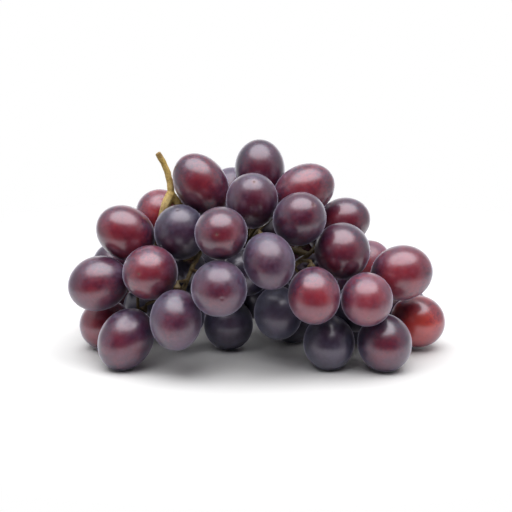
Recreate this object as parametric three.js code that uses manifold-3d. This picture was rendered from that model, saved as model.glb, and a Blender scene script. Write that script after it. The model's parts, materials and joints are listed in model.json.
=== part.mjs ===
// A bunch of red table grapes, as picked, lying on its side. Each grape is a solid of its own, and
// hangs by a pedicel from one branching stem, whose cut end stands out at the bunch's upper left.
// Millimetres, +Z up, the front towards -Y, the origin on the surface under the bunch's middle.
import * as THREE from 'three';
import { mergeVertices } from 'three/addons/utils/BufferGeometryUtils.js';
import Module from 'manifold-3d';

const wasm = await Module();
wasm.setup();

const CLEARANCE = 0.3; // between a grape and its neighbours, and between a grape and the stem
const REST_FLAT = 0.45; // how far a grape is pressed flat where it bears on the surface
const MIDDLE = { x: 1.23, y: -0.87 }; // the layout's point that stands over the origin

// The grapes in sight are laid out as they are seen from the front and a little above.
const VIEW_DISTANCE = 700;
const VIEW_ELEVATION = THREE.MathUtils.degToRad(15);
const VIEW_CENTRE = new THREE.Vector3(0, 0, 40);
const VIEW_RIGHT = new THREE.Vector3(1, 0, 0);
const VIEW_UP = new THREE.Vector3(0, Math.sin(VIEW_ELEVATION), Math.cos(VIEW_ELEVATION));
const VIEW_AHEAD = new THREE.Vector3(0, Math.cos(VIEW_ELEVATION), -Math.sin(VIEW_ELEVATION));

const PEDICEL_RADIUS = 0.75;
const CUSHION_RADIUS = 1.8; // the swelling at the pedicel's end that a grape sits on
const CUSHION_LENGTH = 2.2;
const CUSHION_RIM = 0.8; // the height of its rim
const NECK_LENGTH = 3.5; // the straight end of a pedicel
const NECK_RADIUS = 1.7; // kept free of other grapes there
const THICKENING = 0.33; // a branch's radius grows with the grapes it bears to this power

// The gaps between the grapes are searched point by point for the ways that the stem takes.
const CELL = 1.25;
const LEAST_ROOM = PEDICEL_RADIUS + CLEARANCE + 0.05;
const MOST_ROOM = 4;
const CROWDING = 2; // how strongly a way keeps to the middle of the gaps
const FORWARD = 0.5; // how strongly it leaves its limb forwards, towards the limb's tip

// Faces round a grape and from end to end, round a branch and round a pedicel.
const GRAPE_SIDES = 12;
const GRAPE_RINGS = 8;
const LIMB_SIDES = 7;
const PEDICEL_SIDES = 5;
const TUBE_STEP = 4; // cells from one ring of faces to the next

function material(name, color, roughness) {
  return new THREE.MeshStandardMaterial({ name, color, roughness, metalness: 0 });
}

const TONES = {
  red: material('red_skin', 0x7a2630, 0.4),
  purple: material('purple_skin', 0x55303c, 0.45),
  blue: material('blue_skin', 0x36323f, 0.5),
};
const STEM_BARK = material('stem_bark', 0x9c8a45, 0.7);

// Seen from the front: centre across and up in the picture plane, depth behind the bunch's middle,
// width, length, then where the blossom end points: its roll in the picture and its lean forward.
const IN_SIGHT = [
  [-23.7, 30.8, -4, 22.0, 28.6, 125, 12, 'red'],
  [-41.1, 18.5, 12, 20.6, 21.5, 150, 10, 'red'],
  [-55.9, 9.9, -10, 22.4, 26.5, 145, 15, 'red'],
  [-32.7, 10.3, -14, 22.0, 24.2, 95, 40, 'blue'],
  [-15.0, 9.8, -38, 21.6, 24.0, 205, 82, 'red'],
  [1.6, 37.4, 8, 21.6, 25.6, 92, 5, 'purple'],
  [-1.7, 23.7, -14, 22.0, 25.4, 83, 53, 'purple'],
  [20.6, 28.2, -2, 21.6, 27.4, 28, 5, 'red'],
  [18.7, 15.9, -25, 21.6, 24.5, 44, 50, 'purple'],
  [37.8, 15.1, 0, 20.0, 23.0, 15, 10, 'purple'],
  [37.3, 1.7, -22, 23.2, 24.4, -80, 50, 'purple'],
  [48.2, -3.4, 8, 20.0, 21.0, 60, 0, 'red'],
  [62.6, -7.3, -16, 23.4, 26.4, 12, 15, 'red'],
  [5.6, -2.2, -40, 21.0, 25.0, -72, 35, 'blue'],
  [25.0, -17.0, -42, 21.5, 24.0, -85, 25, 'red'],
  [47.7, -18.7, -38, 21.4, 23.4, -90, 50, 'red'],
  [69.4, -28.0, -5, 22.6, 24.0, -15, 10, 'red'],
  [55.3, -37.8, -33.6, 22.6, 24.5, -80, 20, 'purple'],
  [31.4, -37.4, -30.7, 21.4, 23.4, -90, 20, 'blue'],
  [9.5, -24.5, -18, 20.5, 23.0, -85, 15, 'blue'],
  [-15.9, -14.0, -42, 22.8, 24.2, -70, 70, 'purple'],
  [-34.4, -27.5, -38, 21.4, 25.2, -92, 15, 'purple'],
  [-11.8, -29.7, -4, 21.4, 22.6, -90, 20, 'blue'],
  [-55.9, -36.1, -30.5, 22.4, 27.4, -120, 12, 'purple'],
  [-64.7, -29.5, -4.2, 21.8, 22.6, 200, 5, 'red'],
  [-67.7, -11.8, -18, 23.0, 26.2, 200, 12, 'purple'],
  [-45.3, -7.2, -34, 22.9, 24.5, 186, 70, 'red'],
  [-59.3, -4.3, 14, 21.2, 22.4, 160, 0, 'blue'],
  [-10.3, 27.5, 22, 20.8, 22.0, 90, 0, 'purple'],
];

// At the back, underneath and inside: centre, width and length. The blossom end points outwards.
const OUT_OF_SIGHT = [
  [-65, 24, 10.5, 21.4, 23.0, 'red'],
  [-43, 37, 11, 21.8, 24.0, 'purple'],
  [-45, 33, 37, 21.6, 24.4, 'red'],
  [-26, 31, 52, 21.2, 24.0, 'purple'],
  [-21, 42, 34, 21.8, 24.8, 'blue'],
  [-19, 41, 10.5, 21.0, 23.6, 'red'],
  [-32, -7, 17, 20.6, 22.2, 'blue'],
  [0, 40, 42, 21.8, 24.6, 'purple'],
  [8.5, 42, 10.5, 21.4, 23.4, 'blue'],
  [10, 30, 57, 21.2, 24.4, 'red'],
  [24, 38, 36, 22.0, 24.4, 'red'],
  [29.5, 36, 10.5, 21.0, 23.2, 'purple'],
  [33, 22, 45, 21.0, 23.8, 'purple'],
  [42, 29, 25.5, 21.6, 23.6, 'purple'],
  [52, 28, 10.5, 21.2, 23.6, 'red'],
  [44, -8, 11, 20.4, 22.0, 'blue'],
  [64, 14, 12, 21.0, 23.2, 'purple'],
  [17, 10, 10.5, 20.8, 22.4, 'blue'],
  [-30, 8, 30.5, 20.6, 22.4, 'blue'],
  [-4, -8, 35, 20.4, 22.0, 'blue'],
  [20, -9, 36.5, 20.2, 22.0, 'purple'],
  [38, -10, 32.5, 20.2, 22.0, 'blue'],
  [-1, 14, 19, 20.4, 22.2, 'blue'],
  [-49, 7, 13, 20.8, 22.6, 'blue'],
  [35, 12, 25, 20.2, 22.0, 'purple'],
  [-17, 22, 27, 20.2, 22.0, 'blue'],
  [20, 17, 60, 20.2, 22.4, 'purple'],
];

// The limbs that are laid by hand: points across, up and back as for the grapes in sight, then the
// radius at the start and at the end. The stalk comes first, its cut end at the top, then the main
// axis, then the shoulder and the laterals that show between the grapes.
const LIMBS = [
  {
    points: [[-42.3, 44.3, 4], [-38.9, 38.3, 4], [-37.1, 32.3, 3.5], [-36.5, 26.5, 2]],
    radii: [1.25, 1.6],
  },
  {
    points: [
      [-36.5, 26.5, 2], [-33.5, 22.5, 2], [-28, 16, 4], [-16, 8, 5],
      [2, 5, 4], [18, 2, 3], [34, -4, 0], [50, -13, -6],
    ],
    radii: [1.9, 1.2],
  },
  {
    points: [
      [-36.5, 26.5, 2], [-38.2, 23.4, 0.5], [-39.5, 20, -1.5], [-41, 14, -2],
      [-45, 6, 0], [-49, 0, 3], [-51, -8, 2],
    ],
    radii: [2.3, 0.9],
  },
  { points: [[-22, 12, 4.5], [-24.5, 1, -7], [-27, -4, -17], [-30.5, -13, -22]], radii: [1.4, 0.9] },
  { points: [[6, 4.5, 4], [12, -4, -8], [18, -3, -20], [26, 4, -14], [30, 9, -6]], radii: [1.2, 0.9] },
];

function degrees(value) {
  return THREE.MathUtils.degToRad(value);
}

// The point seen at (across, up) in the picture plane that lies at depth y behind the middle.
function pointInSight(across, up, y) {
  const rise = up * VIEW_UP.y;
  const depth = (y - rise) / (VIEW_AHEAD.y + rise / VIEW_DISTANCE);
  const spread = 1 + depth / VIEW_DISTANCE;
  return VIEW_CENTRE.clone()
    .addScaledVector(VIEW_RIGHT, across * spread)
    .addScaledVector(VIEW_UP, up * spread)
    .addScaledVector(VIEW_AHEAD, depth);
}

// The direction that rolls anticlockwise from the right of the picture and leans to the viewer.
function directionInSight(roll, lean) {
  return new THREE.Vector3()
    .addScaledVector(VIEW_RIGHT, Math.cos(roll) * Math.cos(lean))
    .addScaledVector(VIEW_UP, Math.sin(roll) * Math.cos(lean))
    .addScaledVector(VIEW_AHEAD, -Math.sin(lean));
}

function curveThrough(points) {
  return new THREE.CatmullRomCurve3(points, false, 'centripetal');
}

function nearestTo(target, points) {
  return points.reduce((best, p) => (p.distanceTo(target) < best.distanceTo(target) ? p : best));
}

// A limb's route as points about a cell apart, with its radius at each.
function makeLimbs() {
  return LIMBS.map(({ points, radii: [start, end] }) => {
    const curve = curveThrough(points.map((p) => pointInSight(...p)));
    const route = curve.getSpacedPoints(Math.ceil(curve.getLength() / CELL));
    const radii = route.map((p, i) => THREE.MathUtils.lerp(start, end, i / (route.length - 1)));
    return { route, radii };
  });
}

function makeGrapes(limbs) {
  const grapes = IN_SIGHT.map(([across, up, y, width, length, roll, lean, tone]) => ({
    centre: pointInSight(across, up, y),
    axis: directionInSight(degrees(roll), degrees(lean)),
    width, length, tone, inSight: [across, up],
  }));
  const bearing = limbs.slice(1).flatMap(({ route }) => route);
  for (const [x, y, z, width, length, tone] of OUT_OF_SIGHT) {
    const centre = new THREE.Vector3(x, y, z);
    const axis = centre.clone().sub(nearestTo(centre, bearing)).normalize();
    grapes.push({ centre, axis, width, length, tone, inSight: null });
  }
  return grapes;
}

// How far a grape reaches from its centre along a unit direction.
function reach(grape, direction) {
  const along = grape.axis.dot(direction);
  return Math.hypot(grape.length / 2 * along, grape.width / 2 * Math.sqrt(Math.max(0, 1 - along * along)));
}

// How many times its own size a grape, grown all round, would have to be to reach the point.
function shareOf(grape, growth, point) {
  const out = point.clone().sub(grape.centre);
  const along = out.dot(grape.axis);
  const off = Math.sqrt(Math.max(0, out.lengthSq() - along * along));
  return Math.hypot(along / (grape.length / 2 + growth), off / (grape.width / 2 + growth));
}

function neckOf(grape) {
  return grape.centre.clone().addScaledVector(grape.axis, -grape.length / 2 - NECK_LENGTH);
}

// Grapes that press on each other are moved apart, mostly in depth, until they are clear. They
// also leave the limbs and each other's necks free, and are lifted off or let down to the surface.
// Until the last rounds those in sight are drawn back to where they are seen.
function settle(grapes, limbs) {
  const rounds = 600;
  const lastRounds = 150;
  const depthBias = 3;
  const hold = 0.15;
  const letDown = 0.7;
  const up = new THREE.Vector3(0, 0, 1);
  const obstacles = limbs.flatMap(({ route, radii }) => (
    route.map((point, i) => ({ point, radius: radii[i] }))
  ));
  const part = (line, overlap, a, shareOfA, b = null) => {
    const push = new THREE.Vector3(line.x, line.y * depthBias, line.z).normalize();
    push.multiplyScalar(overlap / push.dot(line));
    a.centre.addScaledVector(push, shareOfA);
    b?.centre.addScaledVector(push, shareOfA - 1);
  };
  const partFrom = (grape, point, radius) => {
    const line = grape.centre.clone().sub(point);
    const distance = line.length();
    line.divideScalar(distance);
    const overlap = reach(grape, line) + radius + CLEARANCE - distance;
    if (overlap > 0) part(line, overlap, grape, grape.inSight ? 0.2 : 0.5);
  };
  for (let round = 0; round < rounds; round++) {
    for (const grape of grapes) {
      for (const { point, radius } of obstacles) partFrom(grape, point, radius);
      for (const other of grapes) {
        if (other !== grape) partFrom(grape, neckOf(other), NECK_RADIUS);
      }
    }
    grapes.forEach((a, i) => {
      for (const b of grapes.slice(i + 1)) {
        const line = a.centre.clone().sub(b.centre);
        const distance = line.length();
        line.divideScalar(distance);
        const overlap = reach(a, line) + reach(b, line) + CLEARANCE - distance;
        const shareOfA = !a.inSight === !b.inSight ? 0.5 : Number(!a.inSight);
        if (overlap > 0) part(line, overlap, a, shareOfA, b);
      }
    });
    for (const grape of grapes) {
      if (grape.inSight && round < rounds - lastRounds) {
        grape.centre.lerp(pointInSight(...grape.inSight, grape.centre.y), hold);
      }
      const underside = grape.centre.z - reach(grape, up);
      if (underside < letDown) grape.centre.z -= underside + REST_FLAT;
    }
  }
}

// A closed solid of the shape for cutting and joining.
function solid(geometry) {
  const bare = new THREE.BufferGeometry().setAttribute('position', geometry.getAttribute('position'));
  bare.setIndex(geometry.index);
  const merged = mergeVertices(bare, 1e-4);
  const vertProperties = merged.getAttribute('position').array;
  const triVerts = new Uint32Array(merged.index.array);
  return new wasm.Manifold(new wasm.Mesh({ numProp: 3, vertProperties, triVerts }));
}

function geometryOf(made) {
  const mesh = made.getMesh();
  const geometry = new THREE.BufferGeometry();
  geometry.setAttribute('position', new THREE.BufferAttribute(mesh.vertProperties, 3));
  geometry.setIndex(new THREE.BufferAttribute(mesh.triVerts, 1));
  geometry.computeVertexNormals();
  return geometry;
}

// A spheroid about +Y, its blossom end up.
function grapeGeometry(grape, growth = 0) {
  const profile = [];
  for (let ring = 0; ring <= GRAPE_RINGS; ring++) {
    const turn = Math.PI * ring / GRAPE_RINGS;
    const radius = ring % GRAPE_RINGS ? (grape.width / 2 + growth) * Math.sin(turn) : 0;
    profile.push(new THREE.Vector2(radius, -(grape.length / 2 + growth) * Math.cos(turn)));
  }
  return new THREE.LatheGeometry(profile, GRAPE_SIDES);
}

function place(grape, object) {
  object.quaternion.setFromUnitVectors(new THREE.Vector3(0, 1, 0), grape.axis);
  object.position.copy(grape.centre);
  object.updateMatrix();
  return object;
}

// A grape that bears on the surface has a small flat there, cut by a block under it.
function pressFlat(mesh) {
  const size = 60;
  const block = new THREE.BoxGeometry(size, size, size);
  block.translate(mesh.position.x, mesh.position.y, -size / 2);
  const cut = solid(mesh.geometry.clone().applyMatrix4(mesh.matrix)).subtract(solid(block));
  mesh.geometry = geometryOf(cut).applyMatrix4(mesh.matrix.clone().invert());
}

function makeGrapeMesh(grape, index) {
  const mesh = place(grape, new THREE.Mesh(grapeGeometry(grape), TONES[grape.tone]));
  mesh.name = `grape_${String(index + 1).padStart(2, '0')}`;
  if (grape.centre.z < reach(grape, new THREE.Vector3(0, 0, 1))) pressFlat(mesh);
  return mesh;
}

// A closed tube through the given points, with its radius at each.
function tube(stations, sides) {
  const positions = [];
  const faces = [];
  const normal = new THREE.Vector3(1, 1, 1);
  stations.forEach(({ point, radius }, i) => {
    const next = stations[Math.min(i + 1, stations.length - 1)].point;
    const tangent = next.clone().sub(stations[Math.max(i - 1, 0)].point).normalize();
    normal.projectOnPlane(tangent).normalize();
    const binormal = tangent.cross(normal);
    for (let side = 0; side < sides; side++) {
      const turn = 2 * Math.PI * side / sides;
      const corner = point.clone()
        .addScaledVector(normal, Math.cos(turn) * radius)
        .addScaledVector(binormal, Math.sin(turn) * radius);
      positions.push(...corner.toArray());
      if (i === stations.length - 1) continue;
      const here = i * sides + side;
      const beside = i * sides + (side + 1) % sides;
      faces.push(here, beside, here + sides, beside, beside + sides, here + sides);
    }
  });
  const last = (stations.length - 1) * sides;
  for (let side = 1; side < sides - 1; side++) {
    faces.push(0, side + 1, side, last, last + side, last + side + 1);
  }
  const geometry = new THREE.BufferGeometry();
  geometry.setAttribute('position', new THREE.Float32BufferAttribute(positions, 3));
  geometry.setIndex(faces);
  return geometry;
}

// Every few points of a route, with the radius at each, and always its first and its last.
function stationsOn(route, radii) {
  const stations = route.map((point, i) => ({ point, radius: radii[i] }));
  return stations.filter((station, i) => i % TUBE_STEP === 0 || i === stations.length - 1);
}

// Points a cell apart throughout the bunch. Each has its room to the nearest grape, and none at
// the grid's border, so that no way leads out of it.
function makeGrid(grapes) {
  const box = new THREE.Box3().setFromPoints(grapes.map((g) => g.centre));
  const low = box.min;
  const [nx, ny, nz] = box.getSize(new THREE.Vector3()).divideScalar(CELL).ceil().toArray();
  const room = new Float32Array(nx * ny * nz);
  const pointAt = (cell) => new THREE.Vector3(
    low.x + CELL * (cell % nx),
    low.y + CELL * (Math.floor(cell / nx) % ny),
    low.z + CELL * Math.floor(cell / (nx * ny)),
  );
  const cellAt = (point) => {
    const [i, j, k] = point.clone().sub(low).divideScalar(CELL).round().toArray();
    return i + nx * (j + ny * k);
  };
  for (let k = 1; k < nz - 1; k++) {
    for (let j = 1; j < ny - 1; j++) room.fill(MOST_ROOM, nx * (j + ny * k) + 1, nx * (j + 1 + ny * k) - 1);
  }
  for (let cell = 0; cell < room.length; cell++) {
    if (room[cell] === 0) continue;
    const point = pointAt(cell);
    for (const grape of grapes) {
      const distance = point.distanceTo(grape.centre);
      if (distance - grape.length / 2 > room[cell]) continue;
      room[cell] = Math.min(room[cell], distance * (1 - 1 / shareOf(grape, 0, point)));
    }
  }
  const steps = [];
  for (const i of [-1, 0, 1]) {
    for (const j of [-1, 0, 1]) {
      for (const k of [-1, 0, 1]) {
        if (i || j || k) steps.push({ jump: i + nx * (j + ny * k), length: CELL * Math.hypot(i, j, k) });
      }
    }
  }
  return { room, steps, pointAt, cellAt };
}

// The cheapest way to every cell from the cells where the limbs run, each with what it costs to
// start there: the cell that comes before it and the cost, short ways with room being cheap.
function findWays(grid, starts) {
  const fineness = 4;
  const cost = new Float32Array(grid.room.length).fill(Infinity);
  const before = new Int32Array(grid.room.length).fill(-1);
  const queue = [];
  const put = (cell, value) => {
    cost[cell] = value;
    const level = Math.round(value * fineness);
    queue[level] ??= [];
    queue[level].push(cell);
  };
  for (const [cell, value] of starts) put(cell, value);
  for (let level = 0; level < queue.length; level++) {
    for (const cell of queue[level] ?? []) {
      if (Math.round(cost[cell] * fineness) !== level) continue;
      for (const { jump, length } of grid.steps) {
        const next = cell + jump;
        if (!(grid.room[next] >= LEAST_ROOM)) continue;
        const value = cost[cell] + length * (1 + CROWDING / grid.room[next]);
        if (value >= cost[next]) continue;
        before[next] = cell;
        put(next, value);
      }
    }
  }
  return { cost, before };
}

// The cell nearest to a grape's neck that a way leads to.
function targetCell(grid, cost, grape) {
  const reachOut = 3;
  const neck = neckOf(grape);
  let best = { cell: -1, distance: Infinity };
  for (let i = -reachOut; i <= reachOut; i++) {
    for (let j = -reachOut; j <= reachOut; j++) {
      for (let k = -reachOut; k <= reachOut; k++) {
        const cell = grid.cellAt(neck.clone().add(new THREE.Vector3(i, j, k).multiplyScalar(CELL)));
        const distance = grid.pointAt(cell).distanceTo(neck);
        if (cost[cell] < Infinity && distance < best.distance) best = { cell, distance };
      }
    }
  }
  return best.cell;
}

// Evens a route out and moves its points clear of every grape. Both its ends stay.
function smooth(route, radii, grapes) {
  const rounds = 150;
  for (let round = 0; round < rounds; round++) {
    for (let i = 1; i < route.length - 1; i++) {
      const even = route[i - 1].clone().add(route[i + 1]).multiplyScalar(0.5);
      route[i].lerp(even, 0.5);
      for (const grape of grapes) {
        const share = shareOf(grape, radii[i] + CLEARANCE, route[i]);
        if (share < 1) route[i].sub(grape.centre).divideScalar(share).add(grape.centre);
      }
    }
  }
}

// The branches that grow from the limbs through the gaps between the grapes, one to each grape.
// Where the ways of several grapes run together, they are one branch, the thicker the more it bears.
function growBranches(limbs, grapes) {
  const grid = makeGrid(grapes);
  const grown = new Map();
  for (const { route } of limbs.slice(1)) {
    for (const point of route) grown.set(grid.cellAt(point), point);
  }
  const fork = limbs[1].route[0];
  const starts = [...grown].map(([cell, point]) => [cell, FORWARD * point.distanceTo(fork)]);
  const { cost, before } = findWays(grid, starts);
  const borne = new Map();
  const targets = grapes.map((grape) => ({ grape, cell: targetCell(grid, cost, grape) }));
  for (const { cell } of targets) {
    for (let at = cell; !grown.has(at); at = before[at]) borne.set(at, (borne.get(at) ?? 0) + 1);
  }
  targets.sort((a, b) => cost[b.cell] - cost[a.cell]);
  return targets.map(({ grape, cell }) => {
    const way = [cell];
    while (!grown.has(way[0])) way.unshift(before[way[0]]);
    const route = [...way.map((at) => grown.get(at) ?? grid.pointAt(at)), neckOf(grape)];
    const radii = way.map((at) => PEDICEL_RADIUS * (borne.get(at) ?? 1) ** THICKENING);
    radii[0] = radii[Math.min(1, radii.length - 1)];
    radii.push(PEDICEL_RADIUS);
    smooth(route, radii, grapes);
    way.forEach((at, i) => grown.set(at, route[i]));
    const end = -grape.length / 2 - CLEARANCE;
    const onAxis = (height, radius) => ({
      point: grape.centre.clone().addScaledVector(grape.axis, end - height),
      radius,
    });
    return [
      ...stationsOn(route, radii),
      onAxis(CUSHION_LENGTH, PEDICEL_RADIUS),
      onAxis(CUSHION_RIM, CUSHION_RADIUS),
      onAxis(0, CUSHION_RADIUS),
    ];
  });
}

// One solid: the limbs and branches joined, and cut back round every grape.
function makeStem(limbs, grapes) {
  const tubes = limbs.map(({ route, radii }) => tube(stationsOn(route, radii), LIMB_SIDES));
  for (const stations of growBranches(limbs, grapes)) tubes.push(tube(stations, PEDICEL_SIDES));
  let made = wasm.Manifold.union(tubes.map(solid));
  for (const grape of grapes) {
    const holder = place(grape, new THREE.Object3D());
    made = made.subtract(solid(grapeGeometry(grape, CLEARANCE).applyMatrix4(holder.matrix)));
  }
  const pieces = made.decompose().sort((a, b) => b.volume() - a.volume());
  const mesh = new THREE.Mesh(geometryOf(pieces[0]), STEM_BARK);
  mesh.name = 'stem';
  return mesh;
}

const limbs = makeLimbs();
const grapes = makeGrapes(limbs);
settle(grapes, limbs);

const bunch = new THREE.Group();
bunch.position.set(-MIDDLE.x, -MIDDLE.y, 0);
bunch.add(...grapes.map(makeGrapeMesh), makeStem(limbs, grapes));

export default bunch;
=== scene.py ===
"""A bunch of red table grapes lying on a white surface, under one broad soft light from above.

Every grape of the frame gets a fine skin with its bloom, its stalk-end dimple and the small scar
at its blossom end. The stem gets a smooth fibrous bark with swollen forks and a browned cut end.
"""
import json
import math
import random
import bmesh
import bpy
from mathutils import Matrix, Vector, noise


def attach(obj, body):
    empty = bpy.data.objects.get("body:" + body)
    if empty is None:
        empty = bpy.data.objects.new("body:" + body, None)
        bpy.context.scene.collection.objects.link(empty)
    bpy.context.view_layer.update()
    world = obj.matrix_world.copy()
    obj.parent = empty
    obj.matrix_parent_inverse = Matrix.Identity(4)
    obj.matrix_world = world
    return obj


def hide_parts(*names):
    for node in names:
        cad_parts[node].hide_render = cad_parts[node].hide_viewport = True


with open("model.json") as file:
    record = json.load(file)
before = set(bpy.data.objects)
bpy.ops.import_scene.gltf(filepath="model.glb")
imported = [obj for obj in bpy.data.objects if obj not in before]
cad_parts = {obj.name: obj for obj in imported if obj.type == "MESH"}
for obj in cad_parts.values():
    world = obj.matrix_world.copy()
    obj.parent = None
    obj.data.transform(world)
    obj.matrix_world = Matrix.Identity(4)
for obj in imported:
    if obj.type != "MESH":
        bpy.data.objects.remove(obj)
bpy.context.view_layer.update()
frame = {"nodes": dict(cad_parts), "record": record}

MM = 0.001

# The camera looks at a point over the bunch's middle from the front and a little above.
VIEW_DISTANCE = 700 * MM
VIEW_ELEVATION = math.radians(15)
VIEW_CENTRE = Vector((-1.23, 0.87, 40)) * MM
VIEW_BACK = Vector((0, -math.cos(VIEW_ELEVATION), math.sin(VIEW_ELEVATION)))
FRAME_WIDTH = 512 * 0.43 * MM
SENSOR = 36.0

# A grape's mesh: its faces round and from end to end, how much closer together these are at the
# ends, how uneven the skin is, and the hollows at both ends.
SIDES = 48
RINGS = 32
END_CROWDING = 0.05
UNEVENNESS = 0.12 * MM
UNEVEN_LEVEL = 0.4
UNEVEN_SCALE = 70.0
DIMPLE_DEPTH = 0.35 * MM
DIMPLE_RADIUS = 3.2 * MM
PIT_DEPTH = 0.14 * MM
PIT_RADIUS = 0.9 * MM
# The share of a hollow's radius that is at its full depth.
HOLLOW_FLOOR = 0.3

# On grapes in sight a painted glow faces the front: redder skin, thinner bloom and fewer dark
# patches, where light shining through the flesh shows head-on. The others' blush faces away from
# the bunch's middle, which is this high, and counts for less sideways than to the back.
FRONT_PAINTED_GLOW = Vector((0, -1, 0.10)).normalized()
BUNCH_MIDDLE = 36 * MM
SIDEWAYS_BLUSH = 0.4

# The stem's mesh: how far its bark swells, and the bark's ridges with their scale and height.
STEM_VOXEL = 0.36 * MM
STEM_ROUNDS = 5
BARK_SWELL = 0.1 * MM
BARK_RIDGES = ((900, 0.09 * MM), (320, 0.16 * MM))

# The white sheet's half width, its middle, and how far from that the sheet starts and ends fading
# into the white.
SHEET_HALF = 1.0
SHEET_MIDDLE = Vector((0, 60, 0)) * MM
SHEET_FADE = (175 * MM, 240 * MM)

# The soft light over the bunch, and the white room round it: how light its walls are, how light it
# is round the camera, and how light the wall behind the bunch is.
SOFTBOX_PLACE = Vector((0, -0.15, 0.80))
SOFTBOX_SIZE = (1.30, 0.95)
SOFTBOX_POWER = 10.6
WALL_LIGHT = 0.66
CAMERA_LIGHT = 0.01
BACKDROP_LIGHT = 1.1

# How each grape in sight looks: ripeness from red at 0 to blue-black at 1, how much bloom lies on
# it, and how far light shines through it.
LOOKS = {
    "grape_01": (0.34, 0.50, 0.25),
    "grape_02": (0.17, 0.65, 0.40),
    "grape_03": (0.30, 0.45, 0.25),
    "grape_04": (0.76, 0.65, 0.05),
    "grape_05": (0.41, 0.55, 0.20),
    "grape_06": (0.50, 0.45, 0.12),
    "grape_07": (0.52, 0.60, 0.12),
    "grape_08": (0.25, 0.60, 0.25),
    "grape_09": (0.49, 0.55, 0.15),
    "grape_10": (0.37, 0.50, 0.20),
    "grape_11": (0.44, 0.45, 0.18),
    "grape_12": (0.20, 0.95, 0.30),
    "grape_13": (0.22, 0.60, 0.30),
    "grape_14": (0.55, 0.78, 0.10),
    "grape_15": (0.27, 0.60, 0.30),
    "grape_16": (0.29, 0.65, 0.28),
    "grape_17": (0.06, 0.35, 0.75),
    "grape_18": (0.50, 0.50, 0.15),
    "grape_19": (0.88, 0.65, 0.00),
    "grape_20": (0.92, 0.85, 0.00),
    "grape_21": (0.53, 0.70, 0.10),
    "grape_22": (0.54, 0.70, 0.10),
    "grape_23": (0.90, 0.75, 0.00),
    "grape_24": (0.48, 0.55, 0.15),
    "grape_25": (0.28, 0.45, 0.35),
    "grape_26": (0.42, 0.60, 0.20),
    "grape_27": (0.29, 0.60, 0.28),
    "grape_28": (0.65, 0.55, 0.10),
    "grape_29": (0.55, 1.00, 0.10),
}
# How plainly the blossom's scar shows; it is faint on the others.
SCARS = {
    "grape_05": 0.9,
    "grape_07": 1.0,
    "grape_09": 0.7,
    "grape_16": 0.5,
    "grape_27": 0.8,
}
FAINT_SCAR = 0.15
# The others take theirs from the tone of their slot, give or take a little.
SLOT_LOOKS = {
    "red_grape": (0.24, 0.50, 0.30),
    "purple_grape": (0.52, 0.55, 0.15),
    "blue_grape": (0.92, 0.50, 0.00),
}
LOOK_SPREAD = 0.1
SEED = 11


def smoothstep(low, high, value):
    share = min(1.0, max(0.0, (value - low) / (high - low)))
    return share * share * (3 - 2 * share)


def slots_by_node():
    return {part["node"]: part["material_slot"] for part in frame["record"]["subparts"]}


def is_pole(vert):
    lengths = [edge.calc_length() for edge in vert.link_edges]
    return len(lengths) > 8 and max(lengths) - min(lengths) < 0.02 * MM


def read_grape(node, stem_points):
    """The grape's centre, its axis towards the blossom end, and its half width and half length.

    At each end the solid's faces meet in a point, with many edges of one length. The end that is
    nearer to the stem is the stalk end.
    """
    mesh = bmesh.new()
    mesh.from_mesh(node.data)
    bmesh.ops.remove_doubles(mesh, verts=mesh.verts, dist=0.002 * MM)
    poles = [v for v in mesh.verts if is_pole(v)]
    pole = min(poles, key=lambda v: min((v.co - p).length_squared for p in stem_points))
    ring = [edge.other_vert(pole).co for edge in pole.link_edges]
    axis = (sum(ring, Vector()) / len(ring) - pole.co).normalized()
    widest = 0.0
    for vert in mesh.verts:
        out = vert.co - pole.co
        height = out.dot(axis)
        off = (out - axis * height).length
        if off > widest + 0.005 * MM:
            widest, half_length = off, height
    centre = pole.co + axis * half_length
    mesh.free()
    return centre, axis, widest, half_length


def turned_towards(axis):
    """A turn that takes +Z to the axis."""
    return axis.to_track_quat("Z", "Y").to_matrix()


def polar_angles():
    """Angles from the blossom end to the stalk end, closer together near both."""
    shares = [i / RINGS for i in range(RINGS + 1)]
    return [math.pi * (share - END_CROWDING * math.sin(4 * math.pi * share)) for share in shares]


def hollow(depth, radius, off_axis):
    """How deep a round hollow is at a distance from its middle."""
    return depth * (1 - smoothstep(HOLLOW_FLOOR * radius, radius, off_axis))


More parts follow.
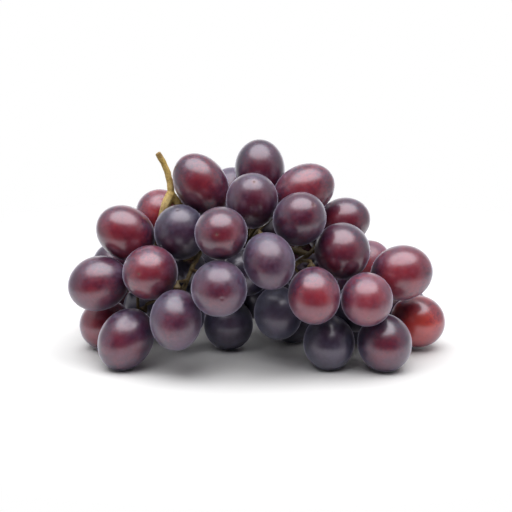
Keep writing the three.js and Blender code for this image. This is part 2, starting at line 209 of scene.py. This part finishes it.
def grape_mesh(name, centre, axis, half_width, half_length, shift, painted_glow_and_blush_side):
    """A grape in its place, flat where it bears on the floor.

    Its mesh also keeps each point's place from the grape's centre with +Z towards the blossom end,
    the same moved by the shift, so that no two grapes have the same pattern, and how far the point
    faces the side of the painted glow on grapes in sight, and of the blush on the others.
    """
    turn = turned_towards(axis)
    own_places = []
    painted_glow_and_blush = []
    mesh = bmesh.new()
    rings = []
    for angle in polar_angles():
        at_end = math.sin(angle) < 1e-6
        ring = []
        for side in range(1 if at_end else SIDES):
            around = 2 * math.pi * side / SIDES
            point = Vector((
                half_width * math.sin(angle) * math.cos(around),
                half_width * math.sin(angle) * math.sin(around),
                half_length * math.cos(angle),
            ))
            own_places.append(point.copy())
            painted_glow_and_blush.append((turn @ point).normalized().dot(painted_glow_and_blush_side))
            off_axis = math.hypot(point.x, point.y)
            sunk = UNEVENNESS * (UNEVEN_LEVEL - noise.noise(point * UNEVEN_SCALE + shift))
            if point.z < 0:
                sunk += hollow(DIMPLE_DEPTH, DIMPLE_RADIUS, off_axis)
            else:
                sunk += hollow(PIT_DEPTH, PIT_RADIUS, off_axis)
            placed = turn @ (point - point.normalized() * max(sunk, 0.0)) + centre
            placed.z = max(placed.z, 0.0)
            ring.append(mesh.verts.new(placed))
        rings.append(ring)
    for upper, lower in zip(rings, rings[1:]):
        for side in range(SIDES):
            beside = (side + 1) % SIDES
            corners = [upper[side % len(upper)], lower[side % len(lower)]]
            corners += [lower[beside % len(lower)], upper[beside % len(upper)]]
            mesh.faces.new(list(dict.fromkeys(corners)))
    for face in mesh.faces:
        face.smooth = True
    data = bpy.data.meshes.new(name)
    mesh.to_mesh(data)
    mesh.free()
    add_vectors(data, "own_place", own_places)
    add_vectors(data, "pattern_place", [place + shift for place in own_places])
    add_values(data, "painted_glow_and_blush", painted_glow_and_blush)
    return data


def add_vectors(data, name, vectors):
    attribute = data.attributes.new(name, "FLOAT_VECTOR", "POINT")
    attribute.data.foreach_set("vector", [value for vector in vectors for value in vector])


def add_values(data, name, values):
    attribute = data.attributes.new(name, "FLOAT", "POINT")
    attribute.data.foreach_set("value", values)


def painted_glow_and_blush_side_of(name, centre):
    """The side of the painted glow: to the front on grapes in sight. The others blush outwards,
    where they hung open.
    """
    if name in LOOKS:
        return FRONT_PAINTED_GLOW
    outwards = Vector((SIDEWAYS_BLUSH * centre.x, centre.y, centre.z - BUNCH_MIDDLE))
    return outwards.normalized()


def look_of(name, slot, chance):
    if name in LOOKS:
        return LOOKS[name]
    varied = [value + chance.uniform(-LOOK_SPREAD, LOOK_SPREAD) for value in SLOT_LOOKS[slot]]
    return tuple(min(1.0, max(0.0, value)) for value in varied)


def make_grapes(materials):
    chance = random.Random(SEED)
    stem_points = [v.co.copy() for v in frame["nodes"]["stem"].data.vertices]
    slots = slots_by_node()
    for name in sorted(n for n in frame["nodes"] if n != "stem"):
        shape = read_grape(frame["nodes"][name], stem_points)
        shift = Vector((chance.random(), chance.random(), chance.random()))
        data = grape_mesh(f"{name}_skin", *shape, shift, painted_glow_and_blush_side_of(name, shape[0]))
        look = (*look_of(name, slots[name], chance), SCARS.get(name, FAINT_SCAR))
        for aspect, value in zip(("ripeness", "bloom", "glow", "scar"), look):
            add_values(data, aspect, [value] * len(data.vertices))
        data.materials.append(materials[slots[name]])
        piece = bpy.data.objects.new(f"{name}_skin", data)
        bpy.context.scene.collection.objects.link(piece)
        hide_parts(name)
        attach(piece, "root")


class Nodes:
    """The node tree of a material or world, emptied, with short ways to add and link nodes."""

    def __init__(self, owner):
        owner.use_nodes = True
        self.owner = owner
        self.tree = owner.node_tree
        self.tree.nodes.clear()

    def add(self, kind, inputs=None, **settings):
        node = self.tree.nodes.new(kind)
        for key, value in settings.items():
            setattr(node, key, value)
        for key, value in (inputs or {}).items():
            self.feed(node.inputs[key], value)
        return node

    def feed(self, socket, value):
        if isinstance(value, bpy.types.NodeSocket):
            self.tree.links.new(value, socket)
        elif isinstance(value, bpy.types.Node):
            self.tree.links.new(value.outputs[0], socket)
        else:
            socket.default_value = value

    def math(self, operation, *values, clamp=False):
        node = self.add("ShaderNodeMath", operation=operation, use_clamp=clamp)
        for socket, value in zip(node.inputs, values):
            self.feed(socket, value)
        return node.outputs[0]

    def step(self, value, low, high, to_low=0.0, to_high=1.0):
        node = self.add("ShaderNodeMapRange", interpolation_type="SMOOTHSTEP")
        for socket, item in zip(node.inputs, (value, low, high, to_low, to_high)):
            self.feed(socket, item)
        return node.outputs[0]

    def mix(self, share, one, other, blend="MIX"):
        node = self.add("ShaderNodeMix", data_type="RGBA", blend_type=blend)
        self.feed(node.inputs[0], share)
        self.feed(node.inputs[6], one)
        self.feed(node.inputs[7], other)
        return node.outputs[2]

    def ramp(self, value, stops):
        node = self.add("ShaderNodeValToRGB", {"Fac": value})
        elements = node.color_ramp.elements
        while len(elements) < len(stops):
            elements.new(0.5)
        for element, (place, colour) in zip(elements, stops):
            element.position = place
            element.color = (*colour, 1)
        return node.outputs[0]

    def noise(self, vector, scale, detail=3.0, roughness=0.5, distortion=0.0):
        inputs = {"Vector": vector, "Scale": scale, "Detail": detail, "Roughness": roughness}
        inputs["Distortion"] = distortion
        return self.add("ShaderNodeTexNoise", inputs).outputs[0]

    def attribute(self, name, output="Fac"):
        return self.add("ShaderNodeAttribute", attribute_name=name).outputs[output]


SKIN = (
    (0.00, (0.500, 0.046, 0.034)),
    (0.13, (0.300, 0.021, 0.036)),
    (0.35, (0.150, 0.011, 0.031)),
    (0.55, (0.066, 0.009, 0.034)),
    (0.78, (0.030, 0.010, 0.037)),
    (1.00, (0.017, 0.014, 0.034)),
)
BLOOM = (
    (0.00, (0.44, 0.25, 0.36)),
    (0.50, (0.34, 0.25, 0.42)),
    (1.00, (0.26, 0.28, 0.46)),
)
# How far the ripeness drifts, how much riper the small dark patches are, how much of the skin's
# colour a full bloom hides, and how much rougher it makes the skin.
DRIFT = 0.60
MOTTLE = 0.34
BLOOM_DEPTH = 0.22
BLOOM_ROUGHNESS = 0.20

# The scales of the skin's patterns, per metre.
CLOUDS = 95
MOTTLING = 620
MOTTLE_DRIFTS = 75
BLOOM_PATCHES = 130
BLOOM_GRAIN = 700
RUBBED_MARKS = 330
PORES = 620
FINEST_GRAIN = 2600

# How far along the axis each end starts and is in full, and how far from the axis the scar's dot
# and halo and the collar round the stalk start and end fading, with a ragged edge.
BLOSSOM_END = (4 * MM, 6 * MM)
STALK_END = (-8 * MM, -6 * MM)
SCAR_DOT = (0.35 * MM, 0.7 * MM)
SCAR_HALO = (0.5 * MM, 2.2 * MM)
STALK_COLLAR = (1.6 * MM, 4.2 * MM)
RAGGED_EDGE = 0.6 * MM
DOT_BROWN = (0.13, 0.05, 0.03, 1)
HALO_BROWN = (0.30, 0.10, 0.08, 1)
COLLAR_GREEN = (0.30, 0.16, 0.08, 1)
PORE_TAN = (0.45, 0.30, 0.28, 1)

# How far from the cut end the stem starts and ends darkening, painted shade for the depth of the
# bunch, and the same of the cut's brown.
STEM_PAINTED_SHADE = (20 * MM, 34 * MM)
CUT_BROWNING = (1 * MM, 4.5 * MM)
FIBRE_BROWN = (0.16, 0.09, 0.03, 1)
SPECK_BROWN = (0.13, 0.06, 0.025, 1)
CUT_BROWN = (0.20, 0.10, 0.045, 1)


def skin_material(slot, roughness, shine_through):
    nodes = Nodes(bpy.data.materials.new(f"{slot}_skin"))
    spot = nodes.attribute("pattern_place", "Vector")
    apart = nodes.add("ShaderNodeSeparateXYZ", {0: nodes.attribute("own_place", "Vector")})

    # The colour of the ripening skin drifts in clouds. It is redder towards the front of grapes in
    # sight, a painted glow of light shining through the flesh, and redder in the blush on the
    # others.
    clouds = nodes.noise(spot, CLOUDS, 3, 0.55)
    drift = nodes.math("MULTIPLY", nodes.math("SUBTRACT", clouds, 0.5), DRIFT)
    painted_glow_and_blush = nodes.math("ADD", nodes.attribute("painted_glow_and_blush"), nodes.math("MULTIPLY", drift, 0.6))
    painted_glow_and_blush_turning = nodes.step(painted_glow_and_blush, 0.38, 1.0, 0.13, -0.10)
    ripeness = nodes.math("ADD", nodes.attribute("ripeness"), drift)
    ripeness = nodes.math("ADD", ripeness, painted_glow_and_blush_turning)

    # Small darker patches lie in drifts of their own. They are fewer on the painted glow at the
    # front of grapes in sight, and fewer in the others' blush.
    mottled = nodes.step(nodes.noise(spot, MOTTLING, 5, 0.75), 0.42, 0.62)
    drifts = nodes.step(nodes.noise(spot, MOTTLE_DRIFTS, 2, 0.5), 0.42, 0.60, 0.25, 1.0)
    mottle = nodes.math("MULTIPLY", nodes.math("MULTIPLY", mottled, drifts), MOTTLE)
    mottle = nodes.math("MULTIPLY", mottle, nodes.step(painted_glow_and_blush, 0.4, 1.0, 1.0, 0.3))
    ripeness = nodes.math("ADD", ripeness, mottle, clamp=True)
    skin = nodes.ramp(ripeness, SKIN)

    # Bloom lies in patches with rubbed edges and fine streaks, thinner where it was touched.
    patches = nodes.noise(spot, BLOOM_PATCHES, 4, 0.6, 0.4)
    fine = nodes.noise(spot, BLOOM_GRAIN, 3, 0.65)
    rubbed = nodes.noise(spot, RUBBED_MARKS, 2, 0.5, 1.2)
    amount = nodes.math("MULTIPLY", patches, 0.58)
    amount = nodes.math("ADD", amount, nodes.math("MULTIPLY", fine, 0.42))
    threshold = nodes.math("MULTIPLY", nodes.attribute("bloom"), 0.50)
    threshold = nodes.math("SUBTRACT", 0.80, threshold)
    above = nodes.math("SUBTRACT", amount, threshold)
    cover = nodes.step(above, -0.12, 0.20)
    cover = nodes.math("MULTIPLY", cover, nodes.step(rubbed, 0.25, 0.62, 0.55, 1.0))
    # Thinner bloom towards the front of grapes in sight is painted sheen: the bloom shows denser
    # towards their rims. On the others the bloom is thinner in the blush.
    cover = nodes.math("MULTIPLY", cover, nodes.step(painted_glow_and_blush, 0.45, 1.0, 1.0, 0.50))
    bloom_colour = nodes.ramp(ripeness, BLOOM)
    colour = nodes.mix(nodes.math("MULTIPLY", cover, BLOOM_DEPTH), skin, bloom_colour)

    # The scar that the blossom left: a brown dot in a pale ring.
    squares = [nodes.math("POWER", apart.outputs[i], 2.0) for i in (0, 1)]
    off_axis = nodes.math("SQRT", nodes.math("ADD", *squares))
    ragged = nodes.math("MULTIPLY", nodes.math("SUBTRACT", fine, 0.5), RAGGED_EDGE)
    off_axis = nodes.math("ADD", off_axis, ragged)
    at_blossom = nodes.step(apart.outputs[2], *BLOSSOM_END)
    at_blossom = nodes.math("MULTIPLY", at_blossom, nodes.attribute("scar"))
    halo = nodes.math("MULTIPLY", nodes.step(off_axis, *SCAR_HALO, 1.0, 0.0), at_blossom)
    dot = nodes.math("MULTIPLY", nodes.step(off_axis, *SCAR_DOT, 1.0, 0.0), at_blossom)
    colour = nodes.mix(nodes.math("MULTIPLY", halo, 0.30), colour, HALO_BROWN)
    colour = nodes.mix(nodes.math("MULTIPLY", dot, 0.85), colour, DOT_BROWN)

    # Round the stalk the skin is greener and scuffed.
    at_stalk = nodes.step(apart.outputs[2], *STALK_END, 1.0, 0.0)
    collar = nodes.math("MULTIPLY", nodes.step(off_axis, *STALK_COLLAR, 1.0, 0.0), at_stalk)
    colour = nodes.mix(nodes.math("MULTIPLY", collar, 0.5), colour, COLLAR_GREEN)

    # Pale pores, far apart, and a very fine grain.
    pores = nodes.add("ShaderNodeTexVoronoi", {"Vector": spot, "Scale": PORES}).outputs[0]
    pore = nodes.step(pores, 0.06, 0.18, 1.0, 0.0)
    colour = nodes.mix(nodes.math("MULTIPLY", pore, 0.06), colour, PORE_TAN)
    grain = nodes.math("MULTIPLY", nodes.noise(spot, FINEST_GRAIN, 2, 0.6), 0.25)
    relief = nodes.math("ADD", nodes.math("MULTIPLY", fine, 0.6), grain)
    relief = nodes.math("SUBTRACT", relief, nodes.math("MULTIPLY", dot, 1.5))
    bump_values = {"Strength": 0.30, "Distance": 0.08 * MM, "Height": relief}
    bump = nodes.add("ShaderNodeBump", bump_values)

    rough = nodes.step(cover, 0.0, 0.8, roughness, roughness + BLOOM_ROUGHNESS)
    rough = nodes.math("ADD", rough, nodes.math("MULTIPLY", dot, 0.3), clamp=True)
    shader = nodes.add("ShaderNodeBsdfPrincipled", {
        "Base Color": colour,
        "Roughness": rough,
        "IOR": 1.55,
        "Specular IOR Level": 1.0,
        "Specular Tint": (0.96, 0.90, 1.0, 1),
        "Subsurface Weight": nodes.math("MULTIPLY", nodes.attribute("glow"), shine_through),
        "Subsurface Radius": (1.0, 0.16, 0.10),
        "Subsurface Scale": 6 * MM,
        "Coat Weight": 0.5,
        "Coat Roughness": 0.17,
        "Coat IOR": 1.45,
        "Sheen Weight": 1.0,
        "Sheen Roughness": 0.24,
        "Sheen Tint": (0.80, 0.78, 1.0, 1),
        "Normal": bump,
    })
    nodes.add("ShaderNodeOutputMaterial", {"Surface": shader})
    return nodes.owner


def stem_material(stalk_end):
    """Tan bark, browned at the cut end, with painted shade of dark olive brown in the depth of the
    bunch.
    """
    nodes = Nodes(bpy.data.materials.new("stem_bark"))
    place = nodes.add("ShaderNodeTexCoord").outputs["Object"]
    ends = {0: place, 1: stalk_end}
    from_end = nodes.add("ShaderNodeVectorMath", ends, operation="DISTANCE").outputs["Value"]
    broad = nodes.noise(place, 160, 3, 0.6)
    fibres = nodes.noise(place, 1300, 4, 0.7, 0.6)
    outer = nodes.ramp(broad, (
        (0.30, (0.580, 0.400, 0.105)),
        (0.50, (0.700, 0.490, 0.160)),
        (0.62, (0.740, 0.560, 0.230)),
        (0.78, (0.420, 0.230, 0.070)),
    ))
    # Far from the cut end the bark is dark olive brown: painted shade of the bunch's depth.
    inner_painted_shade = nodes.ramp(broad, (
        (0.30, (0.055, 0.040, 0.013)),
        (0.50, (0.095, 0.066, 0.022)),
        (0.70, (0.045, 0.024, 0.011)),
    ))
    colour = nodes.mix(nodes.step(from_end, *STEM_PAINTED_SHADE), outer, inner_painted_shade)
    colour = nodes.mix(nodes.step(fibres, 0.40, 0.75, 0.0, 0.5), colour, FIBRE_BROWN)
    specks = nodes.add("ShaderNodeTexVoronoi", {"Vector": place, "Scale": 900}).outputs[0]
    colour = nodes.mix(nodes.step(specks, 0.10, 0.22, 0.5, 0.0), colour, SPECK_BROWN)
    near_cut = nodes.step(from_end, *CUT_BROWNING, 1.0, 0.0)
    cut = nodes.math("MULTIPLY", near_cut, nodes.step(fibres, 0.2, 0.6, 0.4, 1.0))
    colour = nodes.mix(nodes.math("MULTIPLY", cut, 0.75), colour, CUT_BROWN)
    relief = nodes.math("ADD", fibres, nodes.math("MULTIPLY", specks, 0.5))
    bump_values = {"Strength": 0.6, "Distance": 0.15 * MM, "Height": relief}
    bump = nodes.add("ShaderNodeBump", bump_values)
    shader = nodes.add("ShaderNodeBsdfPrincipled", {
        "Base Color": colour,
        "Roughness": nodes.step(fibres, 0.2, 0.8, 0.48, 0.72),
        "Normal": bump,
    })
    nodes.add("ShaderNodeOutputMaterial", {"Surface": shader})
    return nodes.owner


def make_stem():
    """The frame's stem, rounded off, with swollen rough bark."""
    source = frame["nodes"]["stem"]
    stalk_end = max((v.co for v in source.data.vertices), key=lambda co: co.z).copy()
    piece = bpy.data.objects.new("stem_bark", source.data.copy())
    bpy.context.scene.collection.objects.link(piece)
    piece.matrix_world = source.matrix_world
    remesh = piece.modifiers.new("rounded", "REMESH")
    remesh.mode = "VOXEL"
    remesh.voxel_size = STEM_VOXEL
    remesh.use_smooth_shade = True
    smooth = piece.modifiers.new("softened", "SMOOTH")
    smooth.factor = 0.5
    smooth.iterations = STEM_ROUNDS
    evaluated = piece.evaluated_get(bpy.context.evaluated_depsgraph_get())
    data = bpy.data.meshes.new_from_object(evaluated)
    data.name = "stem_bark"
    piece.modifiers.clear()
    piece.data = data
    for vert, normal in zip(data.vertices, [n.vector.copy() for n in data.vertex_normals]):
        ridge = sum(noise.noise(vert.co * scale) * height for scale, height in BARK_RIDGES)
        vert.co += normal * (BARK_SWELL + ridge)
    data.materials.clear()
    data.materials.append(stem_material(stalk_end))
    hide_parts("stem")
    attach(piece, "root")


def make_floor():
    """A white sheet that fades into the white round it."""
    nodes = Nodes(bpy.data.materials.new("white_sheet"))
    place = nodes.add("ShaderNodeTexCoord").outputs["Object"]
    tone = nodes.noise(place, 3, 2)
    colour = nodes.ramp(tone, ((0.3, (0.84, 0.84, 0.84)), (0.7, (0.86, 0.86, 0.86))))
    shader = nodes.add("ShaderNodeBsdfPrincipled", {"Base Color": colour, "Roughness": 0.6})
    clear = nodes.add("ShaderNodeBsdfTransparent")
    ends = {0: place, 1: SHEET_MIDDLE}
    off_middle = nodes.add("ShaderNodeVectorMath", ends, operation="DISTANCE").outputs["Value"]
    fade = nodes.step(off_middle, *SHEET_FADE)
    mixed = nodes.add("ShaderNodeMixShader", {0: fade, 1: shader, 2: clear})
    nodes.add("ShaderNodeOutputMaterial", {"Surface": mixed})
    half = SHEET_HALF
    corners = [(-half, -half, 0), (half, -half, 0), (half, half, 0), (-half, half, 0)]
    data = bpy.data.meshes.new("floor")
    data.from_pydata(corners, [], [(0, 1, 2, 3)])
    data.materials.append(nodes.owner)
    floor = bpy.data.objects.new("floor", data)
    bpy.context.scene.collection.objects.link(floor)


def looking_back(place, back):
    """The turn and place of a camera or light that has the given direction behind it."""
    return Matrix.Translation(place) @ back.to_track_quat("Z", "Y").to_matrix().to_4x4()


def make_camera():
    data = bpy.data.cameras.new("camera")
    data.sensor_width = SENSOR
    data.lens = SENSOR * VIEW_DISTANCE / FRAME_WIDTH
    camera = bpy.data.objects.new("camera", data)
    camera.matrix_world = looking_back(VIEW_CENTRE + VIEW_BACK * VIEW_DISTANCE, VIEW_BACK)
    bpy.context.scene.collection.objects.link(camera)
    bpy.context.scene.camera = camera


def make_light(name, place, size, power):
    data = bpy.data.lights.new(name, "AREA")
    data.shape = "ELLIPSE"
    data.size, data.size_y = size
    data.energy = power
    light = bpy.data.objects.new(name, data)
    light.matrix_world = looking_back(place, (place - VIEW_CENTRE).normalized())
    bpy.context.scene.collection.objects.link(light)


def make_world():
    """White to the camera; to the object a white room that is dark round the camera."""
    world = bpy.data.worlds.new("studio")
    bpy.context.scene.world = world
    nodes = Nodes(world)
    direction = nodes.add("ShaderNodeTexCoord").outputs["Generated"]
    ends = {0: direction, 1: VIEW_BACK}
    to_camera = nodes.add("ShaderNodeVectorMath", ends, operation="DOT_PRODUCT").outputs["Value"]
    walls = nodes.step(to_camera, 0.36, 0.80, WALL_LIGHT, CAMERA_LIGHT)
    backdrop = nodes.step(to_camera, -0.95, -0.55, BACKDROP_LIGHT, 0.0)
    room = nodes.add("ShaderNodeBackground", {"Strength": nodes.math("ADD", walls, backdrop)})
    white = nodes.add("ShaderNodeBackground", {"Color": (1, 1, 1, 1)})
    seen = nodes.add("ShaderNodeLightPath").outputs["Is Camera Ray"]
    choice = nodes.add("ShaderNodeMixShader", {0: seen, 1: room, 2: white})
    nodes.add("ShaderNodeOutputWorld", {"Surface": choice})


bpy.context.scene.view_settings.view_transform = "Standard"
make_grapes({
    "red_grape": skin_material("red_grape", 0.32, 0.55),
    "purple_grape": skin_material("purple_grape", 0.33, 0.45),
    "blue_grape": skin_material("blue_grape", 0.36, 0.30),
})
make_stem()
make_floor()
make_camera()
make_light("softbox", SOFTBOX_PLACE, SOFTBOX_SIZE, SOFTBOX_POWER)
make_world()
